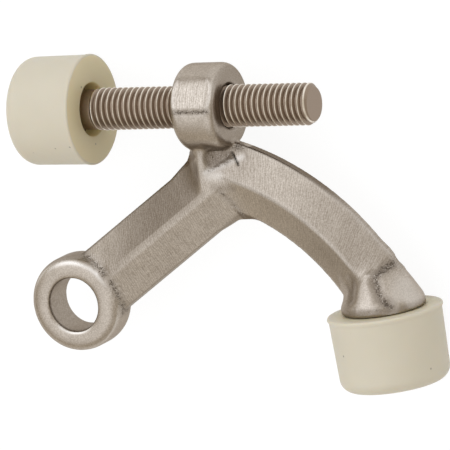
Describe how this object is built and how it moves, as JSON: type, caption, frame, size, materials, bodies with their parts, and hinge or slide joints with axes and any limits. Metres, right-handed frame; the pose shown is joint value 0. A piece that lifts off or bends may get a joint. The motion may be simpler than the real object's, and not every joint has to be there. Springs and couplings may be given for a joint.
{
  "type": "hinge pin door stop",
  "caption": "Cast hinge-pin door stop with a ridged forked body, a rubber-tipped foot and an adjustable rubber-tipped threaded stud.",
  "frame": {"origin": "middle of the hinge-pin bore", "axes": "+Z along the hinge-pin bore, +X along the adjusting stud towards its free end, +Y from the eye towards the stud"},
  "size_m": [0.0644, 0.0497, 0.0168],
  "materials": {
    "satin_nickel": "satin nickel, brushed across the arms",
    "nickel_stud": "nickel plated, as rolled",
    "cream_rubber": "smooth moulded"
  },
  "bodies": {
    "stop": {"stop_body": "satin_nickel", "arm_bumper": "cream_rubber"},
    "bumper": {"stud_bumper": "cream_rubber"},
    "stud": {"adjusting_stud": "nickel_stud"}
  },
  "joints": [
    {"name": "stud_advance", "type": "slide", "parent": "stop", "child": "bumper", "axis": [1, 0, 0], "range_m": [-0.013, 0.0135]},
    {"name": "stud_turn", "type": "hinge", "parent": "bumper", "child": "stud", "pos_m": [0.0058, 0.02835, 0], "axis": [1, 0, 0], "continuous": true}
  ],
  "couplings": [
    {"joint": "stud_turn", "follows": "stud_advance", "rad_per_m": 6927.4}
  ]
}
